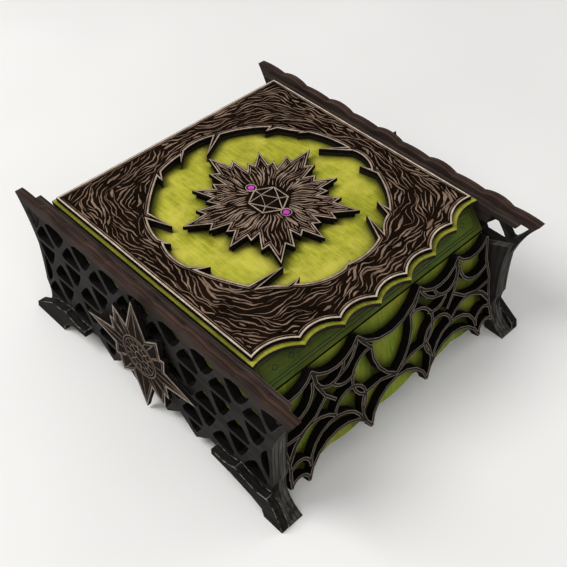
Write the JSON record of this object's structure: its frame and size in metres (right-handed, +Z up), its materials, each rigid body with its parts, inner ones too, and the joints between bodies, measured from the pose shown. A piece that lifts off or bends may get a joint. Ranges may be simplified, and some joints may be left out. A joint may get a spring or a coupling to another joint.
{
  "type": "dice storage chest",
  "caption": "Lidded storage chest on feet with lattice side panels, a divided tray under a hinged lid and a leaning drawer front with a spider-web overlay below.",
  "frame": {"origin": "on the ground plane, midway between the wing tips front and back and midway between the two side panels", "axes": "+X to the chest's right, +Y to its back (drawer front and fascia face -Y), +Z up"},
  "size_m": [0.242, 0.266, 0.1098],
  "materials": {
    "green_board": "green stained plywood, satin",
    "bark": "dark brown engraved plywood",
    "lattice": "charcoal stained plywood with brown edges",
    "web": "dark green stained plywood, burnt edges",
    "inner_board": "green stained plywood, matt",
    "gem": "magenta, glossy",
    "pin": "plain steel pin"
  },
  "bodies": {
    "case": {"box_back": "green_board", "box_floor": "inner_board", "box_side_left": "green_board", "box_side_right": "green_board", "column_back_left": "lattice", "column_back_right": "lattice", "column_front_left": "lattice", "column_front_right": "lattice", "fascia": "green_board", "foot_pad_back_left": "lattice", "foot_pad_back_right": "lattice", "foot_pad_front_left": "lattice", "foot_pad_front_right": "lattice", "hinge_pin_left": "pin", "hinge_pin_right": "pin", "lattice_panel_left": "lattice", "lattice_panel_right": "lattice", "rail_backer_left": "lattice", "rail_backer_right": "lattice", "sill_left": "lattice", "sill_right": "lattice", "star_backing_left": "lattice", "star_backing_right": "lattice", "star_face_left": "lattice", "star_face_right": "lattice", "tray_divider_cross_1": "inner_board", "tray_divider_cross_2": "inner_board", "tray_divider_cross_3": "inner_board", "tray_divider_long_1": "inner_board", "tray_divider_long_2": "inner_board", "tray_floor": "inner_board", "tray_front": "inner_board"},
    "lid": {"gem_back": "gem", "gem_front": "gem", "hinge_lug_left": "green_board", "hinge_lug_right": "green_board", "lid_board": "green_board", "lid_frame": "green_board", "lid_relief": "bark", "medallion_backing": "bark", "medallion_face": "bark"},
    "drawer": {"drawer_back": "inner_board", "drawer_bottom": "inner_board", "drawer_divider_cross_1": "inner_board", "drawer_divider_cross_2": "inner_board", "drawer_divider_long_1": "inner_board", "drawer_front": "green_board", "drawer_side_left": "inner_board", "drawer_side_right": "inner_board", "drawer_web": "web"}
  },
  "joints": [
    {"name": "lid_hinge", "type": "hinge", "parent": "case", "child": "lid", "pos_m": [0, 0.1045, 0.0984], "axis": [-1, 0, 0], "range_deg": [0, 100]},
    {"name": "drawer_slide", "type": "slide", "parent": "case", "child": "drawer", "axis": [0, -1, 0], "range_m": [0, 0.15]}
  ]
}
